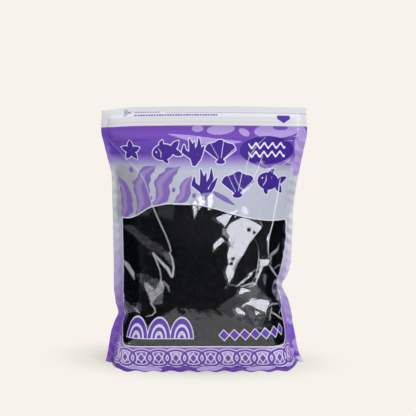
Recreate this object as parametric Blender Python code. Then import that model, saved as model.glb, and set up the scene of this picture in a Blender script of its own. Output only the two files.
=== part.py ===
"""A standing zip pouch, filled with dried cut wakame.

The pouch is made of three sheets of clear plastic film: a front web and a back web, welded to each
other down both sides and across the top, and a base web that opens into an oval floor between them.
The webs are printed violet, with a white header above the zip and one unprinted window in front. Each
colour of a web is a piece of its own here: white header, violet print and clear window. A press-to-close
zip lies between the webs at the foot of the header. The wakame is one heap of curled flakes.

X runs across the pouch, the window faces -Y, and Z is up. The origin is the middle of the footprint.
"""

import math
import random

import bmesh
import bpy
import numpy as np
from mathutils import Vector, noise

# Driving dimensions, in metres
WEB_WIDTH = 0.250
HEIGHT = 0.3187
SIDE_SEAL = 0.008
HEADER_HEIGHT = 0.023
FIN_HEIGHT = 0.007
FILM = 0.0006
GAP = 0.0003
WELD_OFFSET = (FILM + GAP) / 2
HEADER_FOOT = HEIGHT - HEADER_HEIGHT

# Outer edges of the two side seals, without their pinches: height and distance from the middle
LEFT_EDGE = (
    (0.000, -0.1232), (0.012, -0.1205), (0.030, -0.1175), (0.048, -0.1145), (0.064, -0.1130),
    (0.090, -0.1115), (0.135, -0.1115), (0.200, -0.1120), (0.232, -0.1125), (0.256, -0.1170),
    (0.275, -0.1215), (0.290, -0.1245), (0.319, -0.1225),
)
RIGHT_EDGE = (
    (0.000, 0.1240), (0.012, 0.1175), (0.037, 0.1120), (0.056, 0.1085), (0.078, 0.1065),
    (0.098, 0.1055), (0.120, 0.1060), (0.150, 0.1070), (0.190, 0.1080), (0.220, 0.1112),
    (0.245, 0.1160), (0.270, 0.1205), (0.290, 0.1240), (0.319, 0.1225),
)
# Where each edge is pinched, and how far in, and from what share of the half width on
LEFT_PINCH = ((0.040, 0.0), (0.052, 0.0025), (0.064, 0.0065), (0.076, 0.0025), (0.092, 0.0))
RIGHT_PINCH = ((0.062, 0.0), (0.080, 0.0030), (0.098, 0.0100), (0.114, 0.0030), (0.128, 0.0))
PINCH_FROM, PINCH_FULL = 0.62, 0.94
# How far each web stands out from the seals at mid width, by height
FRONT_DEPTH = (
    (0.000, 0.0420), (0.007, 0.0390), (0.017, 0.0425), (0.040, 0.0455), (0.075, 0.0478),
    (0.108, 0.0486), (0.140, 0.0480), (0.185, 0.0440), (0.225, 0.0345), (0.255, 0.0220),
    (0.279, 0.0085), (0.292, 0.0024), (0.306, 0.0024), (0.312, 0.0002), (0.319, 0.0),
)
BACK_DEPTH = (
    (0.000, 0.0400), (0.007, 0.0380), (0.017, 0.0420), (0.040, 0.0455), (0.090, 0.0485),
    (0.130, 0.0470), (0.185, 0.0410), (0.225, 0.0310), (0.255, 0.0190), (0.279, 0.0080),
    (0.292, 0.0024), (0.306, 0.0024), (0.312, 0.0002), (0.319, 0.0),
)
# Exponent of the cross-section: boxy at the base, lens-shaped above it, straight at the zip
FULLNESS = (
    (0.000, 17.0), (0.030, 13.0), (0.055, 9.5), (0.085, 5.6), (0.120, 3.5), (0.160, 2.7), (0.250, 2.2),
    (0.279, 4.0), (0.290, 60.0), (0.319, 60.0),
)
ARC_STEPS = 41

# The header bows down to both ends, and its left end curls forward and sags
BOW_START, BOW_HEIGHT, BOW_SAG = 0.240, 0.050, 0.0017
CURL_START_X, CURL_WIDTH = -0.082, 0.046
CURL_START_Z, CURL_HEIGHT = 0.284, 0.036
CURL_FORWARD, CURL_SAG = 0.008, 0.0030

# The bottom seals ripple where the pouch presses on them
RIPPLE_LENGTH = 0.0268
RIPPLE_RISE, RIPPLE_SWING = 0.0007, 0.0012

# The window on the flat web: sides that bulge where the pouch is pinched, round lower corners, a slightly
# arched foot and a wave for its top edge
WINDOW_LEFT = (
    (0.020, -0.0890), (0.034, -0.0900), (0.043, -0.0935), (0.051, -0.1010), (0.058, -0.1100),
    (0.065, -0.1145), (0.073, -0.1120), (0.084, -0.1080), (0.106, -0.1080), (0.150, -0.1100),
    (0.190, -0.1108),
)
WINDOW_RIGHT = (
    (0.020, 0.0940), (0.034, 0.0965), (0.043, 0.1025), (0.051, 0.1050), (0.060, 0.1040),
    (0.068, 0.1035), (0.076, 0.1090), (0.086, 0.1160), (0.096, 0.1190), (0.104, 0.1155),
    (0.113, 0.1100), (0.125, 0.1105), (0.140, 0.1145), (0.155, 0.1165), (0.172, 0.1160),
    (0.190, 0.1125),
)
WINDOW_FOOT = (
    (-0.120, 0.0305), (-0.085, 0.0322), (-0.055, 0.0330), (0.050, 0.0330), (0.083, 0.0320),
    (0.120, 0.0300),
)
WINDOW_CORNER = 0.0070
WINDOW_GAP = 0.0009
WINDOW_TOP = (
    (-0.125, 0.1825), (-0.100, 0.1840), (-0.086, 0.1885), (-0.0645, 0.2005), (-0.037, 0.2055),
    (-0.016, 0.2055), (0.011, 0.2010), (0.042, 0.1920), (0.071, 0.1850), (0.095, 0.1815),
    (0.125, 0.1800),
)
COLUMNS, PRINT_ROWS, HEADER_ROWS = 28, 32, 6

# What lies inside is this much narrower than the pouch, so that it clears the upright corners
INNER_WIDTH = 0.984

# The base web, from the foot of the front seal over the floor to its middle: share of the half depth, height
BASE_PROFILE = (
    (1.00, 0.0012), (1.00, 0.0068), (0.94, 0.0064), (0.84, 0.0040), (0.70, 0.0014), (0.55, FILM / 2),
    (0.25, FILM / 2),
)
BASE_INSET = 0.0020
BASE_COLUMNS = 26
BASE_REACH = 0.900
BASE_END = 0.82

# The zip: flange strips on the two webs, a rib on the front one and a channel on the back one
ZIP_HEIGHT = 0.2992
ZIP_FLANGE = 0.0064
ZIP_SEGMENTS = 24
ZIP_WALL = 0.0005

# The heap of wakame
HEAP_REACH = 0.92
HEAP_HALF_HEIGHT, HEAP_HALF_DEPTH = 0.105, 0.040
HEAP_CLEAR = 0.0046
HEAP_FLOOR_CLEAR = 0.0022
HEAP_DOME = 0.012
HEAP_TOP = ((-1.0, 0.205), (-0.5, 0.226), (0.1, 0.233), (0.6, 0.221), (1.0, 0.200))
HEAP_CUTS = 12
HEAP_RELIEF, HEAP_CELL = 0.0016, 0.013
FLAKE_THICKNESS = 0.0010
# Stations from a flake's root to its tip: share of its length, share of its width, height over the heap
FLAKE_SHAPE = ((0.0, 0.55, -0.0034), (0.35, 1.0, 0.0008), (0.72, 0.9, 0.0022), (1.0, 0.45, 0.0010))
FLAKE_LENGTH = (0.016, 0.028)
FLAKE_WIDTH = (0.0070, 0.0120)
FLAKES_FRONT, FLAKES_BACK, FLAKES_TOP = 78, 18, 10
TOP_SPREAD = 0.6
SEED = 8


def smooth_curve(points, at):
    """The value at each place on a smooth line through (place, value) points that overshoots none of them."""
    places, values = np.array(points).T
    grade = np.diff(values) / np.diff(places)
    product, total = grade[:-1] * grade[1:], grade[:-1] + grade[1:]
    turning = product <= 0
    inner = np.where(turning, 0, 2 * product / np.where(turning, 1, total))
    slopes = np.concatenate((grade[:1], inner, grade[-1:]))
    at = np.clip(at, places[0], places[-1])
    i = np.clip(np.searchsorted(places, at) - 1, 0, len(places) - 2)
    step = places[i + 1] - places[i]
    t = (at - places[i]) / step
    rise = t * t * (3 - 2 * t)
    bend = t * (1 - t) ** 2 * slopes[i] - t * t * (1 - t) * slopes[i + 1]
    return values[i] + (values[i + 1] - values[i]) * rise + step * bend


def smooth_step(value):
    t = np.clip(value, 0, 1)
    return t * t * (3 - 2 * t)


def curl(x, z):
    """How far the header's left end has curled, from 0 to 1."""
    return smooth_step((CURL_START_X - x) / CURL_WIDTH) * smooth_step((z - CURL_START_Z) / CURL_HEIGHT)


def settle(x, y, z):
    """What both webs do together: the bow and the curl of the header and the ripples of the bottom seal."""
    turned = curl(x, z)
    bowed = (2 * x / WEB_WIDTH) ** 2 * smooth_step((z - BOW_START) / BOW_HEIGHT)
    low = np.clip(1 - z / FIN_HEIGHT, 0, 1)
    wave = 2 * math.pi * x / RIPPLE_LENGTH
    y = y - CURL_FORWARD * turned + RIPPLE_SWING * np.sin(wave) * low
    z = z - BOW_SAG * bowed - CURL_SAG * turned + RIPPLE_RISE * (1 + np.sin(wave + 1)) * low
    return x, y, z


def cross_section(u, z, depths):
    """Distance across and depth of a web at height z. Equal steps of u are equal steps of film."""
    left, right = smooth_curve(LEFT_EDGE, z), smooth_curve(RIGHT_EDGE, z)
    half = (right - left) / 2 - SIDE_SEAL
    depth = smooth_curve(depths, z)
    power = np.interp(z, *np.array(FULLNESS).T)
    inner = 1 - 2 * SIDE_SEAL / WEB_WIDTH
    share = np.minimum(np.abs(u) / inner, 1)
    q = np.linspace(0, 1, ARC_STEPS)
    fall = 1 - q[None, :] ** power[:, None]
    steps = np.hypot(half[:, None] * np.diff(q), depth[:, None] * np.diff(fall, axis=1))
    walked = np.cumsum(steps, axis=1) / steps.sum(axis=1)[:, None]
    i = np.minimum((walked < share[:, None]).sum(axis=1), ARC_STEPS - 2)
    rows = np.arange(len(u))
    before = np.where(i > 0, walked[rows, i - 1], 0)
    reached = q[i] + (share - before) / (walked[rows, i] - before) * (q[1] - q[0])
    past = np.clip((np.abs(u) - inner) / (1 - inner), 0, 1) * SIDE_SEAL
    pinch = np.where(u < 0, smooth_curve(LEFT_PINCH, z), smooth_curve(RIGHT_PINCH, z))
    inward = pinch * smooth_step((np.abs(u) - PINCH_FROM) / (PINCH_FULL - PINCH_FROM))
    x = (left + right) / 2 + np.sign(u) * (half * reached + past - inward)
    return x, depth * (1 - reached**power)


def web_point(u, z, side, inward=0.0):
    """Points on the front (side -1) or back (side 1) web. u runs from -1 to 1 across it."""
    u, z = np.atleast_1d(np.asarray(u, float)), np.atleast_1d(np.asarray(z, float))
    x, depth = cross_section(u, z, FRONT_DEPTH if side < 0 else BACK_DEPTH)
    return settle(x, side * (depth + WELD_OFFSET - inward), z)


def beyond(points, at, value):
    """How far a value lies beyond a smooth line, measured square to the line."""
    slope = (smooth_curve(points, at + 0.001) - smooth_curve(points, at - 0.001)) / 0.002
    return (value - smooth_curve(points, at)) / np.hypot(1, slope)


def window_distance(x, z):
    """How far a point of the flat front web is outside the window, or inside it where negative."""
    across = np.maximum(beyond(WINDOW_RIGHT, z, x), -beyond(WINDOW_LEFT, z, x)) + WINDOW_CORNER
    below = WINDOW_CORNER - beyond(WINDOW_FOOT, x, z)
    rounded = np.minimum(np.maximum(across, below), 0) + np.hypot(np.maximum(across, 0), np.maximum(below, 0))
    return np.maximum(rounded - WINDOW_CORNER, beyond(WINDOW_TOP, x, z))


def outward(flat):
    """The direction away from the window at each flat point."""
    tiny = 1e-5
    x, z = flat.T
    across = window_distance(x + tiny, z) - window_distance(x - tiny, z)
    up = window_distance(x, z + tiny) - window_distance(x, z - tiny)
    return np.stack((across, up), axis=1) / (2 * tiny)


def snap_to_window(flat, cell):
    """Moves the flat points that lie within half a cell of the window's outline onto it."""
    for _ in range(3):
        distance = window_distance(flat[:, 0], flat[:, 1])
        near = np.abs(distance) < cell / 2
        flat[near] -= (distance[:, None] * outward(flat))[near]
    for x in (WINDOW_LEFT[-1][1], WINDOW_RIGHT[-1][1]):
        corner = x, float(smooth_curve(WINDOW_TOP, x))
        nearest = np.argmin(np.hypot(*(flat - corner).T))
        flat[nearest] = corner
    return flat


def split_across(bm, distance):
    """Cuts each four-sided face that the outline crosses from corner to corner."""
    for face in list(bm.faces):
        near = [v for v in face.verts if abs(distance[v.index]) < 1e-4]
        values = [distance[v.index] for v in face.verts]
        crossed = min(values) < -1e-4 and max(values) > 1e-4
        if crossed and len(near) == 2:
            bmesh.utils.face_split(face, near[0], near[1])


def keep_side(bm, distance, inside):
    """Keeps the faces inside the window's outline, or those outside it."""
    sign = -1 if inside else 1
    gone = [f for f in bm.faces if sign * sum(distance[v.index] for v in f.verts) <= 1e-6]
    bmesh.ops.delete(bm, geom=gone, context="FACES")


def new_object(name, bm, material):
    mesh = bpy.data.meshes.new(name)
    bm.to_mesh(mesh)
    bm.free()
    mesh.materials.append(material)
    obj = bpy.data.objects.new(name, mesh)
    bpy.context.scene.collection.objects.link(obj)
    return obj


def film_thickness(obj):
    wall = obj.modifiers.new("film", "SOLIDIFY")
    wall.thickness = FILM
    wall.offset = 0
    return obj


def film_sheet(name, material, side, heights, window=None):
    """One colour of a web, cut flat and then formed. window says which side of the outline to keep."""
    bm = bmesh.new()
    bmesh.ops.create_grid(bm, x_segments=COLUMNS, y_segments=len(heights) - 1, size=1)
    bm.verts.index_update()
    flat = np.array([v.co[:2] for v in bm.verts])
    flat[:, 0] *= WEB_WIDTH / 2
    flat[:, 1] = heights[np.rint((flat[:, 1] + 1) / 2 * (len(heights) - 1)).astype(int)]
    if window:
        flat = snap_to_window(flat, heights[1] - heights[0])
        distance = window_distance(flat[:, 0], flat[:, 1])
        edge = np.abs(distance) < 1e-4
        flat[edge] += (-0.5 if window == "inside" else 0.5) * WINDOW_GAP * outward(flat[edge])
    x, y, z = web_point(flat[:, 0] / (WEB_WIDTH / 2), flat[:, 1], side)
    for v in bm.verts:
        v.co = x[v.index], y[v.index], z[v.index]
    if window:
        split_across(bm, distance)
        keep_side(bm, distance, window == "inside")
    if side > 0:
        bmesh.ops.reverse_faces(bm, faces=bm.faces)
    return film_thickness(new_object(name, bm, material))


def base_web(material):
    """The floor of the pouch: welded inside both bottom seals, and lying flat between them."""
    rows = [(-share, z) for share, z in BASE_PROFILE] + [(share, z) for share, z in reversed(BASE_PROFILE)]
    bm = bmesh.new()
    bmesh.ops.create_grid(bm, x_segments=BASE_COLUMNS, y_segments=len(rows) - 1, size=1)
    for v in bm.verts:
        u = min(max(v.co.x * BASE_COLUMNS / COLUMNS, -BASE_REACH), BASE_REACH)
        share, z = rows[round((v.co.y + 1) / 2 * (len(rows) - 1))]
        lift = float(smooth_step((abs(u) - BASE_END) / (1 - BASE_END)))
        z += (FIN_HEIGHT - z) * lift
        front = web_point(u, min(z, FIN_HEIGHT), -1, inward=BASE_INSET)
        back = web_point(u, min(z, FIN_HEIGHT), 1, inward=BASE_INSET)
        y = front[1][0] + (back[1][0] - front[1][0]) * (share + 1) / 2
        on_floor = abs(share) < 0.9
        v.co = front[0][0] * INNER_WIDTH, y, z if on_floor else front[2][0]
    return film_thickness(new_object("base_web", bm, material))


def swept_strip(name, profile, material):
    """A closed (y, z) profile drawn along the zip, following the curl of the header."""
    bm = bmesh.new()
    rings = []
    stations = np.linspace(-1, 1, ZIP_SEGMENTS + 1) * ZIP_SEGMENTS / COLUMNS
    for x in web_point(stations, np.full(len(stations), ZIP_HEIGHT), -1)[0]:
        rings.append([bm.verts.new([float(c) for c in settle(x, y, z)]) for y, z in profile])
    for ring, after in zip(rings, rings[1:]):
        for i in range(len(profile)):
            bm.faces.new((ring[i - 1], ring[i], after[i], after[i - 1]))
    bm.faces.new(rings[0])
    bm.faces.new(rings[-1])
    bmesh.ops.recalc_face_normals(bm, faces=bm.faces)
    return new_object(name, bm, material)


def zip_strips(material):
    """The rib strip of the front web and the channel strip of the back web, pressed together."""
    depth = float(smooth_curve(FRONT_DEPTH, ZIP_HEIGHT))
    face = depth + WELD_OFFSET - FILM / 2 - GAP
    low, high = ZIP_HEIGHT - ZIP_FLANGE / 2, ZIP_HEIGHT + ZIP_FLANGE / 2
    wall, mid = ZIP_WALL, ZIP_HEIGHT
    rib = (
        (-face, low), (-face + wall, low), (-face + wall, mid - 0.0003), (0.0002, mid - 0.0003),
        (0.0002, mid - 0.0007), (0.0009, mid), (0.0002, mid + 0.0007), (0.0002, mid + 0.0003),
        (-face + wall, mid + 0.0003), (-face + wall, high), (-face, high),
    )
    channel = (
        (face, low), (face, high), (face - wall, high), (face - wall, mid + 0.0016),
        (-0.0006, mid + 0.0016), (-0.0006, mid + 0.0006), (-0.0001, mid + 0.0006),
        (-0.0001, mid + 0.0011), (face - wall, mid + 0.0011), (face - wall, mid - 0.0011),
        (-0.0001, mid - 0.0011), (-0.0001, mid - 0.0006), (-0.0006, mid - 0.0006),
        (-0.0006, mid - 0.0016), (face - wall, mid - 0.0016), (face - wall, low),
    )
    swept_strip("zip_rib", rib, material)
    swept_strip("zip_channel", channel, material)


def base_height(share):
    """Height of the base web's middle surface at a share of the half depth."""
    shares = [s for s, _ in reversed(BASE_PROFILE)]
    heights = [z for _, z in reversed(BASE_PROFILE)]
    return float(np.interp(abs(share), shares[:-1], heights[:-1]))


def heap_point(across, forward, up, clear=HEAP_CLEAR):
    """A point of the heap, from three shares between -1 and 1: across, from front to back, and up."""
    low = base_height(forward) + FILM / 2 + HEAP_FLOOR_CLEAR
    top = float(smooth_curve(HEAP_TOP, np.array([across]))[0]) - HEAP_DOME * forward * forward
    z = low + (top - low) * (up + 1) / 2
    u = across * HEAP_REACH * (1 - 2 * SIDE_SEAL / WEB_WIDTH)
    front, back = web_point(u, z, -1), web_point(u, z, 1)
    inset = min(clear, 0.42 * (back[1][0] - front[1][0]))
    share = (forward + 1) / 2
    y = (front[1][0] + inset) * (1 - share) + (back[1][0] - inset) * share
    x = front[0][0] * (1 - share) + back[0][0] * share
    return Vector((x * INNER_WIDTH, y, z))


def crumple(point):
    """Relief of packed flakes: flat-topped cells with creases between them, from -1 to 0."""
    near = noise.voronoi(point / HEAP_CELL, distance_metric="DISTANCE")[0]
    return max(-1.0, 1.6 * (near[1] - near[0]) - 1.0) if near[1] - near[0] < 0.6 else 0.0


def heap_core(material):
    bm = bmesh.new()
    bmesh.ops.create_cube(bm, size=2)
    bmesh.ops.subdivide_edges(bm, edges=bm.edges, cuts=HEAP_CUTS, use_grid_fill=True)
    for v in bm.verts:
        v.co = heap_point(v.co.x, v.co.y, v.co.z)
    bmesh.ops.recalc_face_normals(bm, faces=bm.faces)
    bm.normal_update()
    moves = {v: v.normal * HEAP_RELIEF * crumple(v.co) for v in bm.verts}
    for v, move in moves.items():
        v.co += move
    return new_object("wakame", bm, material)


def flake(draw, across, up, face, material):
    """One curled flake lying along the heap, its root sunk in it. face is -1 in front, 1 behind, 0 on top."""
    length, width = draw.uniform(*FLAKE_LENGTH), draw.uniform(*FLAKE_WIDTH)
    turn, skew = draw.uniform(0, 2 * math.pi), draw.uniform(-0.3, 0.3)
    bm = bmesh.new()
    layers = {-1: [], 1: []}
    for along, wide, rise in FLAKE_SHAPE:
        twist = draw.uniform(-0.0005, 0.0005)
        for layer, rows in layers.items():
            row = []
            for edge in (-1, 1):
                run = along * length
                aside = (skew * along + edge * wide / 2) * width
                d_across = (run * math.cos(turn) - aside * math.sin(turn)) / HEAP_HALF_HEIGHT
                rise_by = HEAP_HALF_HEIGHT if face else HEAP_HALF_DEPTH
                d_up = (run * math.sin(turn) + aside * math.cos(turn)) / rise_by
                lift = rise + edge * twist + layer * FLAKE_THICKNESS / 2
                if face:
                    level = min(max(up + d_up, -0.96), 0.98)
                    spot = heap_point(across + d_across, face, level, HEAP_CLEAR - lift)
                else:
                    spot = heap_point(across + d_across, up + d_up, 1) + Vector((0, 0, lift))
                row.append(bm.verts.new(spot))
            rows.append(row)
    inner, outer = layers[-1], layers[1]
    for i in range(len(outer) - 1):
        for j in range(2):
            bm.faces.new((outer[i][j], outer[i + 1][j], inner[i + 1][j], inner[i][j]))
        for rows in (inner, outer):
            bm.faces.new((rows[i][0], rows[i][1], rows[i + 1][1]))
            bm.faces.new((rows[i][0], rows[i + 1][1], rows[i + 1][0]))
    for i in (0, -1):
        bm.faces.new((outer[i][0], outer[i][1], inner[i][1], inner[i][0]))
    bmesh.ops.recalc_face_normals(bm, faces=bm.faces)
    return new_object("flake", bm, material)


def scattered(draw, count):
    """Seeded places on one face of the heap, kept apart from each other by trying a few for each."""
    placed = []
    for _ in range(count):
        tries = [(draw.uniform(-0.76, 0.76), draw.uniform(-0.55, 0.80)) for _ in range(12)]
        best = max(tries, key=lambda t: min([math.hypot(t[0] - p[0], t[1] - p[1]) for p in placed] or [1]))
        placed.append(best)
    return placed


def wakame(material):
    """The heap with its flakes, joined into one solid."""
    core = heap_core(material)
    draw = random.Random(SEED)
    loose = bpy.data.collections.new("flakes")
    bpy.context.scene.collection.children.link(loose)
    for face, count in ((-1, FLAKES_FRONT), (1, FLAKES_BACK), (0, FLAKES_TOP)):
        for across, up in scattered(draw, count):
            piece = flake(draw, across, up if face else up * TOP_SPREAD, face, material)
            bpy.context.scene.collection.objects.unlink(piece)
            loose.objects.link(piece)
    join = core.modifiers.new("flakes", "BOOLEAN")
    join.operand_type = "COLLECTION"
    join.collection = loose
    join.operation = "UNION"
    join.solver = "MANIFOLD"
    bpy.context.view_layer.objects.active = core
    bpy.ops.object.modifier_apply(modifier=join.name)
    for piece in list(loose.objects):
        bpy.data.objects.remove(piece)
    bpy.data.collections.remove(loose)
    return core


def material(name, colour, roughness, alpha=1.0):
    mat = bpy.data.materials.new(name)
    mat.use_nodes = True
    shader = mat.node_tree.nodes["Principled BSDF"]
    shader.inputs["Base Color"].default_value = (*colour, 1)
    shader.inputs["Roughness"].default_value = roughness
    shader.inputs["Alpha"].default_value = alpha
    mat.diffuse_color = (*colour, alpha)
    return mat


def clear_scene():
    for obj in list(bpy.data.objects):
        bpy.data.objects.remove(obj)


def main():
    clear_scene()
    violet = material("violet_print", (0.19, 0.08, 0.46), 0.25)
    white = material("white_print", (0.70, 0.69, 0.72), 0.3)
    clear = material("clear_film", (0.75, 0.76, 0.80), 0.08, alpha=0.2)
    natural = material("natural_polythene", (0.72, 0.72, 0.76), 0.35)
    seaweed = material("dried_wakame", (0.012, 0.014, 0.012), 0.7)
    print_rows = np.linspace(0, HEADER_FOOT - GAP / 2, PRINT_ROWS + 1)
    back_rows = np.concatenate((print_rows[:3], print_rows[4:-8:2], print_rows[-8:]))
    header_rows = np.linspace(HEADER_FOOT + GAP / 2, HEIGHT, HEADER_ROWS + 1)
    film_sheet("front_print", violet, -1, print_rows, "outside")
    film_sheet("front_window", clear, -1, print_rows, "inside")
    film_sheet("front_header", white, -1, header_rows)
    film_sheet("back_print", violet, 1, back_rows)
    film_sheet("back_header", white, 1, header_rows)
    base_web(violet)
    zip_strips(natural)
    wakame(seaweed)


main()
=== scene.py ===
"""A standing zip pouch of violet-printed film, filled with dried cut wakame."""
import functools
import math
import random

import bmesh
import bpy
import numpy as np
from mathutils import Matrix, Vector, noise


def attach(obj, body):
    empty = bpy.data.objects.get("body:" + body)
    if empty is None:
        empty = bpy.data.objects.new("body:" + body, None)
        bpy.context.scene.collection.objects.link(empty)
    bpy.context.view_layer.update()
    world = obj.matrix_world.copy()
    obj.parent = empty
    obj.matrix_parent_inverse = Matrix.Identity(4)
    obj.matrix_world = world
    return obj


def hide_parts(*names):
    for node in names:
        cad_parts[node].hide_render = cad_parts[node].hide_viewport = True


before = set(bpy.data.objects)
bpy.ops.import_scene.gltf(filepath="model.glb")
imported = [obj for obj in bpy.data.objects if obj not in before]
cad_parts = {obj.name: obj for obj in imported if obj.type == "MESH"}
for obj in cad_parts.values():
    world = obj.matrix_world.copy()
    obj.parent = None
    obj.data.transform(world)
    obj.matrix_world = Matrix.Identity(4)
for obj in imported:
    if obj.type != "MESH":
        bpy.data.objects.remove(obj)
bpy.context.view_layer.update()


def metres(*points):
    """A curve of (place, value) points, from millimetres."""
    return np.array(points) / 1000


# The pouch's own dimensions, in metres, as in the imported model. Curves are given in millimetres.
WEB_WIDTH = 0.25
HEIGHT = 0.3187
SIDE_SEAL = 0.008
HEADER_FOOT = 0.2957
FIN_HEIGHT = 0.007
LEFT_EDGE = metres(
    (0, -123.2), (12, -120.5), (30, -117.5), (48, -114.5), (64, -113), (90, -111.5), (135, -111.5), (200, -112),
    (232, -112.5), (256, -117), (275, -121.5), (290, -124.5), (319, -122.5),
)
RIGHT_EDGE = metres(
    (0, 124), (12, 117.5), (37, 112), (56, 108.5), (78, 106.5), (98, 105.5), (120, 106), (150, 107), (190, 108),
    (220, 111.2), (245, 116), (270, 120.5), (290, 124), (319, 122.5),
)
FRONT_DEPTH = metres(
    (0, 42), (7, 39), (17, 42.5), (40, 45.5), (75, 47.8), (108, 48.6), (140, 48), (185, 44), (225, 34.5), (255, 22),
    (279, 8.5), (292, 2.4), (306, 2.4), (312, 0.2), (319, 0),
)
BACK_DEPTH = metres(
    (0, 40), (7, 38), (17, 42), (40, 45.5), (90, 48.5), (130, 47), (185, 41), (225, 31), (255, 19), (279, 8),
    (292, 2.4), (306, 2.4), (312, 0.2), (319, 0),
)
FULLNESS = (
    (0, 17), (0.03, 13), (0.055, 9.5), (0.085, 5.6), (0.12, 3.5), (0.16, 2.7), (0.25, 2.2), (0.279, 4), (0.29, 60),
    (0.319, 60),
)
ARC_STEPS = 41
LEFT_PINCH = metres((40, 0), (52, 2.5), (64, 6.5), (76, 2.5), (92, 0))
RIGHT_PINCH = metres((62, 0), (80, 3), (98, 10), (114, 3), (128, 0))
PINCH_FROM, PINCH_FULL = 0.62, 0.94
BOW_START, BOW_HEIGHT, BOW_SAG = 0.24, 0.05, 0.0017
CURL_START_X, CURL_WIDTH = -0.082, 0.046
CURL_START_Z, CURL_HEIGHT = 0.284, 0.036
CURL_FORWARD, CURL_SAG = 0.008, 0.003
WINDOW_LEFT = metres(
    (20, -89), (34, -90), (43, -93.5), (51, -101), (58, -110), (65, -114.5), (73, -112), (84, -108), (106, -108),
    (150, -110), (190, -110.8),
)
WINDOW_RIGHT = metres(
    (20, 94), (34, 96.5), (43, 102.5), (51, 105), (60, 104), (68, 103.5), (76, 109), (86, 116), (96, 119),
    (104, 115.5), (113, 110), (125, 110.5), (140, 114.5), (155, 116.5), (172, 116), (190, 112.5),
)
WINDOW_FOOT = metres(
    (-120, 30.5), (-85, 32.2), (-55, 33), (50, 33), (83, 32), (120, 30),
)
WINDOW_CORNER = 0.007
WINDOW_TOP = metres(
    (-125, 182.5), (-100, 184), (-86, 188.5), (-64.5, 200.5), (-37, 205.5), (-16, 205.5), (11, 201), (42, 192),
    (71, 185), (95, 181.5), (125, 180),
)
BASE_PROFILE = (
    (1, 0.0012), (1, 0.0068), (0.94, 0.0064), (0.84, 0.004), (0.7, 0.0014), (0.55, 0.0003), (0.25, 0.0003),
)

# What the CAD leaves to the finish: real film thickness, and film that lies welded
FILM = 0.00012
WELD_OFFSET = 0.00016
RIPPLE_LENGTH, RIPPLE_RISE, RIPPLE_SWING = 0.0215, 0.0007, 0.0012
PUCKER_LONG, PUCKER_SHORT = 0.0012, 0.0005
LONG_PUCKER, SHORT_PUCKER, PUCKER_FROM = 0.0081, 0.0019, 0.88
FRONT_CELL, HEADER_CELL, BACK_CELL = (0.00085, 0.0013), (0.001, 0.0007), (0.0022, 0.0022)
WINDOW_BAND, WINDOW_FINER = (0.03, 0.212), 1.45
MM = 0.001

# Folds of the front web. Each point is across and up in flat-web millimetres, then the rise and the width of
# the slope on the left and, where it isn't the same, on the right of the line.
CREASES = (
    # the long upright crease on the right, which runs into the pinch
    ((99, 234, 0.1, 2, 2), (97.5, 202.5, 0.9, 2.2, 3), (91.5, 178.5, 1.1, 2.3, 3.5), (85.5, 163, 1.2, 2.4, 3.5),
     (83.5, 148.5, 1, 2.2, 3), (84, 134, 0.9, 1.8, 3), (96, 116, 0.9, 1.8, 3), (122, 99, 0.5, 1.8, 3)),
    # the long crease on the left, and the zigzag it ends in
    ((-97.5, 252, 0.1, 2, 2), (-84, 239, 0.5, 2, 2.4), (-71.5, 219, 0.6, 1.8, 2.6), (-63, 201, 0.6, 1.6, 2.8),
     (-39.5, 155, 0.5, 1.6, 2.6), (-38, 149, 0.1, 1.6, 2)),
    ((-61, 147, 0.1, 1.5, 2), (-54, 136, 0.5, 1.6, 2.2), (-49, 121, 0.4, 1.6, 2), (-49, 113, 0.1, 1.5, 2)),
    ((-60, 146.5, 0.2, 3, 2), (-48, 135, 0.8, 3.5, 2), (-35, 119.5, 0.4, 3, 2)),
    ((-40, 149, 0.1, 2, 2), (-34, 132.5, 0.5, 1.8, 2.2), (-34.5, 119, 0.3, 1.6, 2)),
    ((-58, 86, 0.3, 1.5, 2.5), (-52.5, 78, 0.5, 1.5, 2.5), (-57, 71, 0.1, 1.5, 2)),
    # short folds at the lower right
    ((40, 108, 0.1, 1.5), (48, 115, 0.6, 1.6), (58, 121.5, 0.1, 1.5)),
    ((74, 80, 0.3, 2), (84, 82, 0.8, 2.2), (98, 79.5, 0.3, 2)),
    ((82, 78, 0.3, 2), (78, 72, 0.7, 2), (74, 66, 0.2, 2)),
    ((80, 73, 0.2, 2), (90, 66, 0.9, 2.2), (101, 59, 0.2, 2)),
    ((113, 78, 0.2, 2), (105, 73, 0.7, 2), (96, 68, 0.2, 2)),
    # folds in the print
    ((73.5, 282, 0.1, 1.5), (60, 266, 0.6, 1.6), (52.5, 252, 0.7, 1.6), (51, 238, 0.5, 1.6)),
    ((73, 261, 0.1, 1.5), (62, 234.5, 0.7, 1.6), (50, 221, 0.3, 1.5)),
    ((35, 245, 0.1, 1.5), (40, 231, 0.6, 1.5), (50, 220.5, 0.6, 1.5), (58, 223, 0.1, 1.5)),
    ((-119, 289, 0.3, 4, 5), (-112.5, 272, 0.9, 4, 6), (-101, 256, 0.5, 4, 5), (-90, 245, 0.1, 3, 4)),
    ((-118, 291.5, 0.2, 4), (-108, 289, 0.6, 4), (-99, 286, 0.8, 4), (-89, 287.5, 0.6, 4), (-82, 291, 0.2, 4)),
    ((-80.5, 291, 0.2, 4), (-81.5, 286, 0.7, 4), (-84.5, 282.5, 0.6, 4), (-93, 279, 0.2, 4)),
    ((104, 293, 0.1, 6), (112, 266, 0.25, 7), (108, 240, 0.1, 6)),
    # the top of the bottom seal, which turns out a little
    ((-112, 9, 0.5, 4, 2), (-40, 8, 0.9, 4, 2), (30, 9, 0.7, 4, 2), (108, 8, 0.9, 4, 2)),
)
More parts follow.
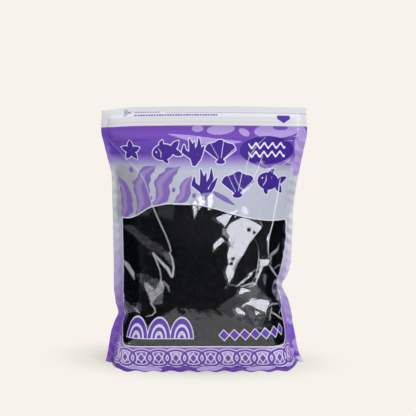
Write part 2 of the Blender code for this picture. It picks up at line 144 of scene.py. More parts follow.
# Flat facets of the front web: the way each faces, in degrees round to the right and up, how far its middle
# stands out, how far its edges reach, in millimetres, and its corners.
FACETS = (
    # the broad bright one under the right of the wave, and its scraps
    (17.3, 5.6, -0.2, 1.6, ((30.5, 181), (33.5, 184), (40, 187), (46, 189.5), (52.5, 189.5), (57, 187.5),
     (69, 181.5), (75, 177.5), (73, 174.5), (65, 166), (57.5, 159.5), (50, 149.5), (42.5, 140), (37.5, 130),
     (36.5, 120), (34, 115.5), (27.5, 107.5), (29.5, 116.5), (28, 119), (26, 127.5), (29.5, 134.5), (30, 138),
     (27.5, 145), (30, 150), (31, 156), (34.5, 156), (32.5, 160), (29.5, 162.5), (31, 167), (27, 176))),
    (18, 4.8, 0.8, 1.6, ((12, 189.5), (17.5, 192), (24, 194.5), (35, 197.5), (41.5, 197), (42.5, 196), (34, 191),
     (31, 187.5), (28, 180.5), (26, 179.5), (22.5, 183.5), (18.5, 185.5), (16, 189))),
    (18.2, 5.9, 0.8, 1.2, ((11.5, 159), (14.5, 162), (20.5, 166.5), (24, 166.5), (29.5, 160), (25, 161), (23, 160),
     (19, 157), (13.5, 150.5), (11.5, 155.5))),
    # the dark fold to the right of it
    (10, 9.5, 0.76, 1.2, ((64, 163.5), (58.5, 159), (51, 149), (43.5, 139.5), (38.5, 129.5), (37.5, 119.5),
     (35.5, 114.5), (32, 110.5), (45, 108.5), (60, 112), (66, 122), (68, 135), (68, 150))),
    # tucks at the crest of the wave
    (19, 4, 1, 1.4, ((-14, 206), (-10, 188.5), (-6, 199), (-5.5, 208), (-9.5, 213))),
    (19, 4, 1, 1.4, ((-5.5, 208), (-6, 199), (0, 205), (5, 209), (3, 216), (-2.5, 217.5), (-9.5, 213))),
    (19, 4, 1.2, 1.4, ((4, 215), (6, 199), (10.5, 200), (11.5, 213), (12.5, 220))),
    # folds that gather at the pinch in the right edge
    (16.1, 7, 0.9, 1.4, ((68.5, 137.5), (72.5, 138.5), (82, 137.5), (84.5, 131), (79.5, 129), (74, 128.5), (72, 124),
     (65.5, 111.5), (63, 110.5), (61.5, 112.5), (68, 124.5), (70.5, 130.5))),
    # the wide tuck below them, tipped towards the table, and its bright edges
    (17.8, 0.8, 0.6, 3, ((46, 98), (52, 106), (61.5, 109), (66, 99), (62, 93), (50, 92))),
    (24, -3, 0.8, 2.5, ((60, 57), (60, 66), (64, 70), (71, 71), (77, 66), (77, 56))),
    (17.3, 8.3, 1.4, 1.4, ((40, 97.5), (43, 104.5), (45.5, 107), (54, 103.5), (55, 102.5), (49, 100), (43.5, 97.5))),
    (16.9, 9.1, 0.6, 1.4, ((41.5, 84), (50, 88.5), (55.5, 90.5), (69.5, 91), (80.5, 87.5), (77, 83), (73, 77),
     (71, 71.5), (69, 74.5), (62, 78.5), (55.5, 83), (49.5, 85), (43.5, 81))),
    (17.4, 9.4, 0.8, 1.4, ((35.5, 81), (39.5, 83), (43, 82), (44.5, 78), (48, 75), (49, 72), (43, 72.5),
     (38, 73.5))),
    # the smooth ground round the badge
    (11, 11.5, 0.8, 7, ((80, 281), (110, 281), (112, 264), (110, 249), (86, 249), (75, 258), (75, 272))),
)
# Painted highlights along hard folds, standing in for reflections of the lamps off the film: how white, and a line of
# points across, up and half width
PAINTED_HIGHLIGHT_LINES = (
    (0.9, ((99.5, 232, 0.3), (99, 215, 1.1), (97.5, 202.5, 1), (95.5, 194.5, 0.85), (91.5, 178.5, 0.75),
     (85.5, 163, 0.75), (84, 155, 0.65), (83.5, 148.5, 0.5), (84, 142, 0.35))),
    (0.6, ((84, 142, 0.35), (84, 132, 0.4), (88.5, 124.5, 0.5), (96, 116, 0.5), (115.5, 105.5, 0.5),
     (125, 97, 0.5))),
    (0.22, ((-118.5, 286, 0.2), (-117, 278.5, 0.4), (-112.5, 272, 0.4), (-103, 260.5, 0.3), (-97.5, 252, 0.4))),
    (0.55, ((-97.5, 252, 0.15), (-90.5, 246, 0.3), (-84, 239, 0.4), (-78, 232, 0.4), (-71.5, 219, 0.45),
     (-63, 201.5, 0.5), (-45.5, 170.5, 0.5), (-39, 156, 0.5), (-37.5, 149.5, 0.4))),
    (0.5, ((-60.5, 146.5, 0.7), (-54.5, 136.5, 0.8), (-50, 127, 0.5), (-48, 117, 0.4), (-49, 110, 0.6))),
    (0.5, ((-60, 146.5, 0.8), (-49.5, 137, 1.4), (-40.5, 129, 1.7), (-36, 120, 1.2))),
    (0.55, ((-39.5, 148.5, 0.6), (-35.5, 141, 0.8), (-33.5, 131, 0.9), (-34.5, 120, 1.1))),
    (0.45, ((-58, 86, 0.8), (-53.5, 81, 0.6), (-52, 76, 0.6), (-55.5, 72, 0.5), (-62, 70, 0.3))),
    (0.85, ((40, 108, 0.5), (46, 113, 0.7), (52.5, 118, 0.35))),
    (0.85, ((55, 121.5, 0.8), (57.5, 122.5, 1.2))),
    (0.35, ((53, 120.5, 0.3), (62.5, 126.5, 0.5), (69, 129, 0.4))),
    (0.85, ((72, 133, 1.6), (73, 127.5, 0.9), (68, 117.5, 0.8), (64, 110.5, 0.6))),
    (0.75, ((45.5, 107, 0.4), (51.5, 109, 0.6), (59.5, 110.5, 0.9), (63, 108.5, 0.7))),
    (0.3, ((115, 125, 0.4), (103.5, 125.5, 0.4), (92.5, 122.5, 0.3))),
    (0.35, ((70.5, 193.5, 0.3), (73, 183.5, 0.4), (75, 178.5, 0.3))),
    (0.8, ((73.5, 282, 0.15), (64, 272, 0.3), (55.5, 260.5, 0.35), (51.5, 247.5, 0.35), (51.5, 238, 0.15))),
    (0.85, ((72, 261, 0.2), (67, 245.5, 0.4), (62, 234.5, 0.4), (57, 224.5, 0.3), (50, 221, 0.2))),
    (0.75, ((35, 244.5, 0.15), (38, 235, 0.35), (44, 225.5, 0.35), (50, 220.5, 0.7), (57, 223, 0.2))),
    (0.35, ((74, 80, 0.4), (84, 82, 0.7), (98, 79.5, 0.4))),
    (0.35, ((82, 78, 0.4), (78, 72, 0.7), (74, 66, 0.4))),
    (0.45, ((80, 73, 0.4), (90, 66, 0.8), (101, 59, 0.5))),
    (0.35, ((115, 77, 0.5), (105, 73, 0.5), (95.5, 68, 0.4))),
    (0.45, ((-78, 78.5, 0.5), (-73.5, 75.5, 0.9), (-70, 73.5, 0.3))),
    (0.25, ((-44, 113, 0.8), (-39, 107, 1), (-37, 101, 0.3))),
)
# Patches of painted highlight and painted reflection: how white, how soft the edge is in millimetres, and the corners
PAINTED_HIGHLIGHT_PATCHES = (
    (0.4, 1, ((-69, 111), (-64.5, 110.5), (-54, 103), (-49.5, 113.5), (-46.5, 115), (-43.5, 108.5), (-44, 102),
     (-51.5, 94.5), (-56, 86), (-58, 85), (-61, 94), (-67.5, 105))),
    (0.42, 1, ((-108.5, 131), (-98, 129), (-86.5, 119), (-85, 111), (-92.5, 116.5), (-106.5, 126))),
    (0.32, 1.2, ((24.5, 178), (27.5, 177), (30, 171), (33.5, 167.5), (29.5, 166), (24, 170.5), (23.5, 175.5))),
    (0.3, 1, ((29.5, 161.5), (37, 163), (39.5, 161), (35, 156.5), (37.5, 152.5), (33, 155), (31, 156.5))),
    (0.25, 1, ((104.5, 153.5), (100, 146), (96, 146), (87.5, 141.5), (89, 139.5), (97.5, 141.5), (102, 144))),
    (0.25, 1, ((87.5, 141.5), (90, 137.5), (89.5, 133.5), (87.5, 130.5), (85.5, 135))),
    (0.18, 1, ((119, 96), (122.5, 98.5), (124.5, 92.5), (118, 79.5), (99, 83.5), (112.5, 88.5))),
    # painted light: the outer edge of the right seal made paler as if lit from the right, and its foot, pale clear
    # film with a painted highlight
    (0.42, 3, ((120.5, 192), (120, 150), (121.5, 108), (127, 108), (127, 192))),
    (0.75, 2, ((118, -2), (127, -2), (127, 8), (119.5, 7))),
    # painted dim reflections on the dull tuck at the lower right, in the band across the left shoulder and as faint
    # smears under the wave
    (0.05, 1.5, ((16, 80), (29, 91.5), (39, 97.5), (40.5, 103.5), (46, 107.5), (61.5, 110.5), (70, 101),
     (81.5, 87.5), (76.5, 80), (71, 71), (66, 60), (49, 60), (34, 66))),
    (0.04, 2, ((-110.5, 172.5), (-104, 175), (-94, 176), (-88, 174), (-83, 169.5), (-71.5, 166), (-56, 158.5),
     (-49, 156), (-42, 148.5), (-41, 146), (-42.5, 142.5), (-46.5, 143), (-53.5, 146.5), (-65, 150.5), (-75, 154.5),
     (-81.5, 158.5), (-90.5, 164.5), (-99, 167.5))),
    (0.006, 18, ((-56, 204), (24, 198), (24, 168), (-4, 160), (-36, 160), (-46, 182))),
    (0.12, 1.5, ((-48, 149.5), (-39, 147.5), (-34, 137.5), (-32.5, 127.5), (-36, 132.5), (-44, 140.5))),
    (0.07, 1.5, ((-64.5, 110.5), (-54, 103), (-49.5, 113.5), (-53.5, 116.5), (-60.5, 116))),
    (0.12, 1.5, ((-51.5, 94.5), (-44, 102), (-45, 86.5), (-55.5, 84.5))),
    (0.07, 2, ((-117, 84), (-77, 79.5), (-74, 75.5), (-117.5, 58.5))),
    # painted highlight on the tucks at the crest of the wave
    (0.3, 1.5, ((-14, 206), (-10, 189), (-6, 199), (0, 205), (5, 209), (6, 199), (10.5, 200), (12.5, 220), (4, 219),
     (-3, 218), (-9.5, 213))),
)
# Small dents in the bright facets
DENTS = ((57, 174.5), (63.5, 170.5), (36, 141), (34, 135.5))
DENT_WIDTH, DENT_DEPTH = 1.2, 0.8
# How far in and out the facets go, and how much of the film's texture they smooth away
LOWEST, HIGHEST, FACET_SMOOTHNESS = -1.2, 4.5, 0.92

# Lumps of the film: rise, size and offset of each. Small random creases: how many, where they lie across and up,
# how far they turn, then their least and greatest half length, rise and width, in millimetres and radians.
FRONT_LUMPS, BACK_LUMPS = ((0.45, 34, 3), (0.16, 11, 7), (0.03, 3.6, 9)), ((0.9, 38, 13), (0.35, 14, 17))
FRONT_CREASES = 120, (-108, 108), (8, 285), 0.7, (5, 14), (0.08, 0.3), (2, 5)
BACK_CREASES = 60, (-105, 105), (10, 280), 0.8, (8, 26), (0.3, 0.9), (4, 8)
SEED = 11
# How far from its line a crease reaches at most, and how far across and up the film is creased
CREASE_REACH, CREASED_ACROSS, CREASED_UP = 12, 116, 288
WELD_START, WELD_STEP, WELD_STEP_WIDTH = 116.5, 0.5, 1.6
HEM_TOP, HEM_RISE = 12, 0.9
HIGHLIGHT_LINE_REACH, HIGHLIGHT_LINE_BLUR = 4, 0.8
ZIP_LEVELS, ZIP_RISE, ZIP_WIDTH = (301.6, 296.2), 0.28, 0.9
# How near the window's outline a point counts as on it, and the width of the white line round it
ON_OUTLINE, WINDOW_LINE = 0.02, 1.3
# The gusset: its cells, its share of the width, where its sides begin to lift, its inset and its sag
BASE_CELLS, BASE_SHARE, BASE_LIFT_FROM, BASE_INSET, BASE_SAG = (110, 52), 0.925, 0.82, 0.0006, 0.0005

# Flakes: how many, how many kinds, their length in millimetres and as a share of the space between the webs,
# how far beyond the window they lie and the least space they need, their tilt, depth, scatter and thickness
FLAKES, FLAKE_SHAPES, FLAKE_SIZES, FLAKE_SHARE = 4200, 8, (4.5, 13), 0.3
FLAKE_MARGIN, FLAKE_ROOM = 0.004, 0.009
FLAKE_TILT, FLAKE_DEPTH, FLAKE_SCATTER, FLAKE_WALL = 0.22, 0.0013, 0.0022, 0.00035

# Prints, in flat-web millimetres. FAR is a distance out of reach of any print.
FAR = 99.0
NO_PRINT_OR_PAINTED_LIGHT = {**dict.fromkeys(("pale", "kelp", "blade", "chain", "title", "badge", "line", "dull"), FAR),
             "white": 0.0, "edge": 0.0}
BADGE = (77, 267)
PANEL_CORNER = 6
TUFT_BLADES = ((-0.62, 0.74, 2.2), (-0.26, 0.98, -1.6), (0.06, 0.86, 1.8), (0.36, 1, -1.4), (0.7, 0.7, 2))
KELP = (
    ((-110, 184, 3), (-102, 196, 10), (-104, 212, 9), (-110, 224, 5), (-116, 232, 1)),
    ((-84, 188, 4), (-76, 205, 10), (-82, 224, 11), (-76, 240, 8), (-62, 249, 1)),
    ((-60, 204, 4), (-51, 215, 8.5), (-54, 229, 10), (-44, 241, 7), (-32, 248, 1)),
    ((-33, 207, 4), (-24, 216, 7), (-23, 228, 7), (-17, 238, 0.8)),
    ((6, 223, 0.4), (17, 217.5, 2.6), (28, 211.5, 2.8), (38, 205, 0.3)),
    ((54, 254, 0.5), (76, 249, 3.4), (100, 252, 2.6), (116, 247, 0.4)),
)
FLOATS = ((-96, 243, 3), (-67, 211, 2.2), (-38, 222, 2.4), (-12, 216, 2.4), (-93, 228, 2))
# Pale patches, across, up, half width, half height and turn: printed bubbles at the top, painted highlights along the
# foot and on the right side
PALE_PRINT_AND_HIGHLIGHT_PATCHES = (
    (88, 291, 28, 9, 0.1), (119, 277, 8, 20, 0.1), (121, 250, 6, 16, 0), (20, 291, 17, 6, 0.1),
    (-8, 292, 7, 4, 0), (48, 288, 7, 4, -0.5), (-84, 20, 12, 9, 0.5), (70, 24, 20, 7, 0.2),
    (6, 4, 14, 3.2, 0.1), (-62, 4, 20, 3, -0.1), (58, 4, 16, 2.6, 0.1), (96, 6, 12, 3, 0),
    (-24, 24, 14, 6, -0.3), (121, 62, 5, 14, 0.1), (124, 22, 5, 8, 0.1), (124, 3, 7, 6, 0),
    (112, 12, 9, 5, 0.6), (26, 20, 8, 8, 0),
)
# Painted shade on the silver ground at the upper left, where it turns away from the light
PAINTED_SHADE_PATCH = (
    (-122, 240), (-114.5, 247), (-106, 250), (-97, 246), (-88.5, 243), (-87, 220), (-76, 208), (-90, 190),
    (-122, 182),
)
# The printed ground and its worn edge from foot to top: height and colour. The ground's dark stop near 8 mm up is
# painted shade along the crease at the top of the bottom seal.
GROUND = (
    (0, "#5c3a9e"), (5, "#6a45a9"), (8, "#4f2f95"), (12, "#7a56b6"), (26, "#8262bc"), (52, "#8364b9"),
    (78, "#9280c2"), (108, "#a79ccb"), (136, "#b6b3cc"), (168, "#b8bbca"), (244, "#b9becc"), (250, "#aaa6cb"),
    (257, "#8a70bb"), (263, "#5e3da5"), (275, "#6a44ae"), (295, "#7b50b8"),
)
WORN = (
    (0, "#8c5cc6"), (10, "#844ace"), (44, "#8450cc"), (66, "#9c82ca"), (96, "#baa8da"), (125, "#c4b4e0"),
    (150, "#c9c1dc"), (185, "#cacad2"), (240, "#cacad2"), (252, "#a890d0"), (262, "#8a62c4"), (296, "#8a62c4"),
)
# Inks, one over the other: print, colour, how far the ink spreads and how soft its edge is
# dull is no ink: it is painted shade, a greyer silver where the ground turns away from the light
INKS_UNDER_WEAR = (("dull", "#a6a6af", 0, 3), ("kelp", "#8368b3"), ("blade", "#9b88c0", 0, 1.2))
INKS_OVER_WEAR = (
    # pale is print at the top, and painted highlights along the foot and on the right side
    ("pale", "#b098d8"), ("chain", "#dcd8ea", 0.85), ("chain", "#6341ac", -0.1), ("title", "#dfdcec", 0.95),
    # badge prints the dark badge and also paints the shadow along the fold of the bottom seal
    ("title", "#40258a"), ("badge", "#40258a"), ("line", "#e2e0ee"),
)

BACKDROP = "#f7f3ec"
# Colours of the painted shadow round the pouch's foot on the glowing table, from the foot outwards
TABLE_SHADE = (
    (0, "#c6c3bd"), (0.1, "#d4d0ca"), (0.17, "#dad7d0"), (0.32, "#e7e3dc"), (0.46, "#ebe8e1"), (0.61, "#f0ece5"),
    (0.73, "#f3f0e9"), (0.87, "#f6f2eb"), (1, BACKDROP),
)
CAMERA_TARGET, CAMERA_RANGE, CAMERA_RISE = Vector((0.0043, 0, 0.1944)), 1.6, 10
FRAME_WIDTH, SENSOR, TABLE_REACH = 0.507, 36, 0.45


def smooth_curve(points, at):
    """The value at each place on a smooth line through (place, value) points that overshoots none of them."""
    places, values = np.array(points).T
    grade = np.diff(values) / np.diff(places)
    product, total = grade[:-1] * grade[1:], grade[:-1] + grade[1:]
    turning = product <= 0
    inner = np.where(turning, 0, 2 * product / np.where(turning, 1, total))
    slopes = np.concatenate((grade[:1], inner, grade[-1:]))
    at = np.clip(at, places[0], places[-1])
    i = np.clip(np.searchsorted(places, at) - 1, 0, len(places) - 2)
    step = places[i + 1] - places[i]
    t = (at - places[i]) / step
    rise = t * t * (3 - 2 * t)
    bend = t * (1 - t) ** 2 * slopes[i] - t * t * (1 - t) * slopes[i + 1]
    return values[i] + (values[i + 1] - values[i]) * rise + step * bend


def smooth_step(value):
    t = np.clip(value, 0, 1)
    return t * t * (3 - 2 * t)


def settle(x, y, z, u):
    """What both webs do together: the header's bow and curl, bottom ripples and puckers of the side seals."""
    bowed = (2 * x / WEB_WIDTH) ** 2 * smooth_step((z - BOW_START) / BOW_HEIGHT)
    turned = smooth_step((CURL_START_X - x) / CURL_WIDTH) * smooth_step((z - CURL_START_Z) / CURL_HEIGHT)
    low = np.clip(1 - z / FIN_HEIGHT, 0, 1)
    wave = 2 * math.pi * x / RIPPLE_LENGTH
    seal = smooth_step((np.abs(u) - PUCKER_FROM) / 0.08) * smooth_step((HEADER_FOOT - z) / 0.02)
    pucker = PUCKER_LONG * np.sin(z / LONG_PUCKER + 2 * u) + PUCKER_SHORT * np.sin(z / SHORT_PUCKER + 30 * u)
    y = y - CURL_FORWARD * turned + RIPPLE_SWING * np.sin(wave) * low + pucker * seal
    z = z - BOW_SAG * bowed - CURL_SAG * turned + RIPPLE_RISE * (1 + np.sin(wave + 1)) * low
    return x, y, z


def cross_section(u, z, depths):
    """Distance across and depth of a web at height z. Equal steps of u are equal steps of film."""
    left, right = smooth_curve(LEFT_EDGE, z), smooth_curve(RIGHT_EDGE, z)
    half = (right - left) / 2 - SIDE_SEAL
    depth = smooth_curve(depths, z)
    power = np.interp(z, *np.array(FULLNESS).T)
    inner = 1 - 2 * SIDE_SEAL / WEB_WIDTH
    share = np.minimum(np.abs(u) / inner, 1)
    q = np.linspace(0, 1, ARC_STEPS)
    fall = 1 - q[None, :] ** power[:, None]
    steps = np.hypot(half[:, None] * np.diff(q), depth[:, None] * np.diff(fall, axis=1))
    walked = np.cumsum(steps, axis=1) / steps.sum(axis=1)[:, None]
    i = np.minimum((walked < share[:, None]).sum(axis=1), ARC_STEPS - 2)
    rows = np.arange(len(u))
    before = np.where(i > 0, walked[rows, i - 1], 0)
    reached = q[i] + (share - before) / (walked[rows, i] - before) * (q[1] - q[0])
    past = np.clip((np.abs(u) - inner) / (1 - inner), 0, 1) * SIDE_SEAL
    pinch = np.where(u < 0, smooth_curve(LEFT_PINCH, z), smooth_curve(RIGHT_PINCH, z))
    inward = pinch * smooth_step((np.abs(u) - PINCH_FROM) / (PINCH_FULL - PINCH_FROM))
    x = (left + right) / 2 + np.sign(u) * (half * reached + past - inward)
    return x, depth * (1 - reached**power)


def web_points(flat, side):
    """Places on the front (side -1) or back (side 1) web of points of the flat web, in millimetres."""
    u, z = flat[:, 0] * MM / (WEB_WIDTH / 2), flat[:, 1] * MM
    x, depth = cross_section(u, z, FRONT_DEPTH if side < 0 else BACK_DEPTH)
    return np.stack(settle(x, side * (depth + WELD_OFFSET), z, u), axis=1)


def web_normals(flat, side):
    """The outward direction at the same points."""
    reach = 0.4
    aside, up = np.array((reach, 0)), np.array((0, reach))
    across = web_points(flat + aside, side) - web_points(flat - aside, side)
    rise = web_points(flat + up, side) - web_points(flat - up, side)
    normal = np.cross(across, rise) * -side
    return normal / np.linalg.norm(normal, axis=1)[:, None]


def beside(flat, line):
    """Each flat point's distance from a line, its side of it (1 is left) and the line's values there."""
    line = np.array(line, float)
    best, side = np.full(len(flat), np.inf), np.zeros(len(flat))
    values = np.zeros((len(flat), line.shape[1] - 2))
    for a, b in zip(line, line[1:]):
        step = b[:2] - a[:2]
        t = np.clip((flat - a[:2]) @ step / (step @ step), 0, 1)[:, None]
        gap = flat - a[:2] - t * step
        distance = np.hypot(*gap.T)
        near = distance < best
        best[near] = distance[near]
        side[near] = np.sign(step[0] * gap[:, 1] - step[1] * gap[:, 0])[near]
        values[near] = (a[2:] + t * (b[2:] - a[2:]))[near]
    return best, side, values


def close_to(flat, line, reach):
    """Which flat points lie within reach of a line's bounding box."""
    spots = np.array(line)[:, :2]
    return np.all((flat > spots.min(axis=0) - reach) & (flat < spots.max(axis=0) + reach), axis=1)


def add_crease(flat, height, line):
    """Raises one fold: straight slopes that meet at the line."""
    near = close_to(flat, line, CREASE_REACH)
    if near.any():
        distance, side, values = beside(flat[near], line)
        rise, left, *right = values.T
        slope = np.clip(1 - distance / np.where(side > 0, left, *(right or [left])), 0, 1)
        height[near] += rise * slope


def facing(azimuth, rise):
    """The unit vector towards an azimuth, from the window's side to the right, and a rise, in degrees."""
    around, up = math.radians(azimuth), math.radians(rise)
    return np.array((math.sin(around) * math.cos(up), -math.cos(around) * math.cos(up), math.sin(up)))


def outside(flat, corners):
    """Distance outside a polygon, or inside it where negative."""
    distance, _, _ = beside(flat, [(*c, 0) for c in (*corners, corners[0])])
    inside = np.zeros(len(flat), bool)
    x, z = flat.T
    for (ax, az), (bx, bz) in zip(corners, (*corners[1:], corners[0])):
        if az != bz:
            inside ^= ((az > z) != (bz > z)) & (x < ax + (z - az) / (bz - az) * (bx - ax))
    return np.where(inside, -distance, distance)


def press_facet(flat, height, texture, points, normals, facet):
    """Pulls the web flat between some corners, so that it faces one way there."""
    azimuth, rise, lift, reach, corners = facet
    near = close_to(flat, corners, reach)
    if not near.any():
        return
    way = facing(azimuth, rise)
    middle = np.mean(corners, axis=0)[None, :]
    centre = (web_points(middle, -1) + web_normals(middle, -1) * lift * MM)[0]
    level = np.clip((centre - points[near]) @ way / (normals[near] @ way) / MM, LOWEST, HIGHEST)
    weight = np.clip(1 - outside(flat[near], corners) / reach, 0, 1)
    height[near] += (level - height[near]) * weight
    texture[near] *= 1 - FACET_SMOOTHNESS * weight


def soft_noise(points, size, offset):
    """Smooth noise from -1 to 1 with lumps of a given size."""
    move = Vector((offset, 2 * offset, 0))
    return np.array([noise.noise(Vector((*p, 0)) / size + move) for p in points])


def lumps(flat, layers):
    return sum(rise * soft_noise(flat, size, offset) for rise, size, offset in layers)


def small_creases(flat, height, seed, count, across, up, spread, reach, rise, width):
    """Adds random creases of three points, most of them upright."""
    draw = random.Random(seed)
    for _ in range(count):
        x, z = draw.uniform(*across), draw.uniform(*up)
        turn, half = draw.gauss(math.pi / 2, spread), draw.uniform(*reach)
        dx, dz = half * math.cos(turn), half * math.sin(turn)
        peak, slope = draw.uniform(*rise), draw.uniform(*width)
        add_crease(flat, height, [(x + k * dx, z + k * dz, peak * (k == 0), slope) for k in (-1, 0, 1)])


def free_film(flat):
    """1 on the free film, falling to 0 at its seals and at the header."""
    return (smooth_step((CREASED_ACROSS - np.abs(flat[:, 0])) / 8)
            * smooth_step((CREASED_UP - flat[:, 1]) / 10) * smooth_step(flat[:, 1] / 6))


def seal_folds(flat):
    """The side seals: a step where the weld begins, and slanting puckers across it."""
    x, z = np.abs(flat[:, 0]), flat[:, 1]
    step = WELD_STEP * np.clip(1 - np.abs(x - WELD_START) / WELD_STEP_WIDTH, 0, 1)
    wave = np.sin((z + 0.6 * x) / 1.9 + 2.2 * np.sin(z / 17)) * smooth_step((x - 108) / 6)
    strength = 0.28 + 0.2 * np.sin(z / 23 + np.sign(flat[:, 0]))
    return (step + strength * wave) * smooth_step((HEADER_FOOT / MM - 4 - z) / 8) * smooth_step(z / 10)


def relief(flat):
    """How far the front web stands out from its smooth form, in millimetres."""
    texture = lumps(flat, FRONT_LUMPS)
    small_creases(flat, texture, SEED, *FRONT_CREASES)
    height = np.zeros(len(flat))
    points, normals = web_points(flat, -1), web_normals(flat, -1)
    for facet in FACETS:
        press_facet(flat, height, texture, points, normals, facet)
    for spot in DENTS:
        texture -= DENT_DEPTH * np.exp(-(((flat - spot) / DENT_WIDTH) ** 2).sum(axis=1))
    for line in CREASES:
        add_crease(flat, height, line)
    hem = HEM_RISE * np.abs(soft_noise(flat * (1, 0.35), 3.2, 21)) * smooth_step((HEM_TOP - flat[:, 1]) / 5)
    return (height + texture) * free_film(flat) + hem + seal_folds(flat)


def back_relief(flat):
    height = lumps(flat, BACK_LUMPS)
    small_creases(flat, height, SEED + 1, *BACK_CREASES)
    return height * free_film(flat) - seal_folds(flat)


def painted_highlights(flat):
    """Painted highlights and reflections, as how white the film is made: hard along the folds, softer in patches."""
    white = np.zeros(len(flat))
    for strength, line in PAINTED_HIGHLIGHT_LINES:
        near = close_to(flat, line, HIGHLIGHT_LINE_REACH)
        distance, _, values = beside(flat[near], line)
        edge = np.clip(0.5 - (distance - values[:, 0]) / HIGHLIGHT_LINE_BLUR, 0, 1)
        white[near] = np.maximum(white[near], strength * edge)
    for strength, soft, corners in PAINTED_HIGHLIGHT_PATCHES:
        near = close_to(flat, corners, soft)
        patch = np.clip(0.5 - outside(flat[near], corners) / soft, 0, 1)
        white[near] = np.maximum(white[near], strength * patch * (0.8 + 0.5 * soft_noise(flat[near], 4, 5)))
    return white


# Print. Every shape is a signed distance in flat-web millimetres, negative inside, so that its edge stays
# sharp between the points of the mesh.
def union(shapes):
    return functools.reduce(np.minimum, shapes, FAR)


def turned(flat, x, z, turn):
    """How far the points lie from a place, along a direction and square to it."""
    dx, dz = flat[:, 0] - x, flat[:, 1] - z
    return dx * math.cos(turn) + dz * math.sin(turn), dz * math.cos(turn) - dx * math.sin(turn)


def disc(flat, x, z, wide, high, turn=0):
    along, aside = turned(flat, x, z, turn)
    size = np.hypot(along / wide, aside / high)
    return (size - 1) * size / np.maximum(np.hypot(along / wide**2, aside / high**2), 1e-6)


def lozenge(flat, x, z, wide, high, scale):
    return (np.abs(flat[:, 0] - x) / wide + np.abs(flat[:, 1] - z) / high - 1) * scale


def dashes(flat, level, half, pitch, reach):
    """A row of dashes along the header."""
    x, z = flat.T
    return np.maximum(np.abs(z - level) - half, np.abs((x + 125) % pitch - pitch / 2) - reach)


def stroke(flat, line):
    """A brush stroke along points of (across, up, half width)."""
    distance, _, values = beside(flat, line)
    return distance - values[:, 0]


def leaf(flat, x, z, turn, length, width):
    """A pointed leaf from its root, along a direction."""
    stations = ((0, 0.02), (0.12, 0.5), (0.3, 0.9), (0.5, 1), (0.72, 0.75), (0.9, 0.32), (1, 0.02))
    dx, dz = math.cos(turn) * length, math.sin(turn) * length
    return stroke(flat, [(x + t * dx, z + t * dz, w * width / 2) for t, w in stations])


def tuft(flat, x, z, size):
    """A tuft of five broad brush-drawn blades that fan out from a foot."""
    foot = z - size / 2
    return union(stroke(flat, (
        (x + 1.5 * lean, foot, 1.5),
        (x + lean * size * 0.2 + sway, foot + length * size * 0.36, 2.6),
        (x + lean * size * 0.52 - sway, foot + length * size * 0.68, 3),
        (x + lean * size * 0.62, foot + length * size, 0.7),
    )) for lean, length, sway in TUFT_BLADES)


def fish(flat, x, z, size, turn):
    """A plump fish with a forked tail."""
    spots = np.column_stack(turned(flat, x, z, turn))
    parts = [disc(spots, -0.12 * size, 0, 0.36 * size, 0.24 * size)]
    for side in (-1, 1):
        parts.append(leaf(spots, 0.16 * size, 0, side * 0.62, 0.4 * size, 0.2 * size))
        parts.append(leaf(spots, -0.18 * size, side * 0.18 * size, side * 0.9, 0.24 * size, 0.14 * size))
    gill = ((0.24, 0.15, 0.35), (0.19, 0, 0.55), (0.24, -0.15, 0.35))
    gill = stroke(spots, [(-back * size, up * size, half) for back, up, half in gill])
    return np.maximum(np.maximum(union(parts), -gill), -disc(spots, -0.34 * size, 0.05 * size, 1.1, 1.1))


def shell(flat, x, z, size):
    """A scallop shell with pale grooves between its ribs."""
    dx, dz = flat[:, 0] - x, flat[:, 1] - z + size * 0.42
    angle, radius = np.arctan2(dx, dz), np.hypot(dx, dz)
    fan = np.maximum(radius - size * (0.86 + 0.035 * np.cos(angle * 9)), (np.abs(angle) - 0.95) * radius)
    grooves = np.abs((angle * 9 / math.pi + 8.5) % 2 - 1) * math.pi / 9 * radius - 0.42
    fan = np.maximum(fan, -np.maximum(grooves, size * 0.16 - radius))
    return np.minimum(fan, disc(flat, x, z - size * 0.42, size * 0.2, size * 0.09))


def title_print(flat):
    """Two rows of sea motifs and a small starfish, all in the darkest violet."""
    motifs = [motif(flat, *place) for motif, *place in (
        (fish, -47, 266, 37, 0.22), (tuft, -13.5, 266, 30), (shell, 19.5, 266, 28),
        (tuft, 0, 229, 35), (shell, 42, 228.5, 31), (fish, 87, 229, 42, -0.25),
    )]
    return union(motifs + [leaf(flat, -92, 266.5, 0.3 + ray * math.tau / 5, 12.5, 7) for ray in range(5)])


def badge_print_and_fold_shadow(flat):
    """The dark oval badge, printed, and a painted shadow along the line where the bottom seal folds."""
    # painted shadow in the crease where the bottom seal turns out
    fold = stroke(flat, ((-84, 6.5, 0.2), (-22, 7, 0.8), (24, 6, 0.4), (70, 7.5, 0.9), (112, 10, 0.3)))
    return np.minimum(disc(flat, *BADGE, 33.5, 16.8), fold)


def badge_waves(flat):
    """Two rows of pale waves across the badge."""
    x, z = flat.T
    rows = union(np.abs(z - level - 2.6 * np.sin(x * 0.62)) - 1.5 for level in (272.5, 262.5))
    return np.maximum(rows, np.abs(x - BADGE[0]) - 23)


def kelp_print(flat):
    """Broad kelp blades with frilled margins, and their floats, on the silver ground."""
    frill = 0.7 * np.sin(flat[:, 1] * 0.5 + flat[:, 0] * 0.25)
    return union([stroke(flat, line) + frill for line in KELP] + [disc(flat, x, z, r, r * 1.2) for x, z, r in FLOATS])


def kelp_light(flat):
    """The lit side of each broad kelp blade."""
    return union(stroke(flat, [(x - 0.34 * half, z, 0.36 * half) for x, z, half in line]) for line in KELP[:4])


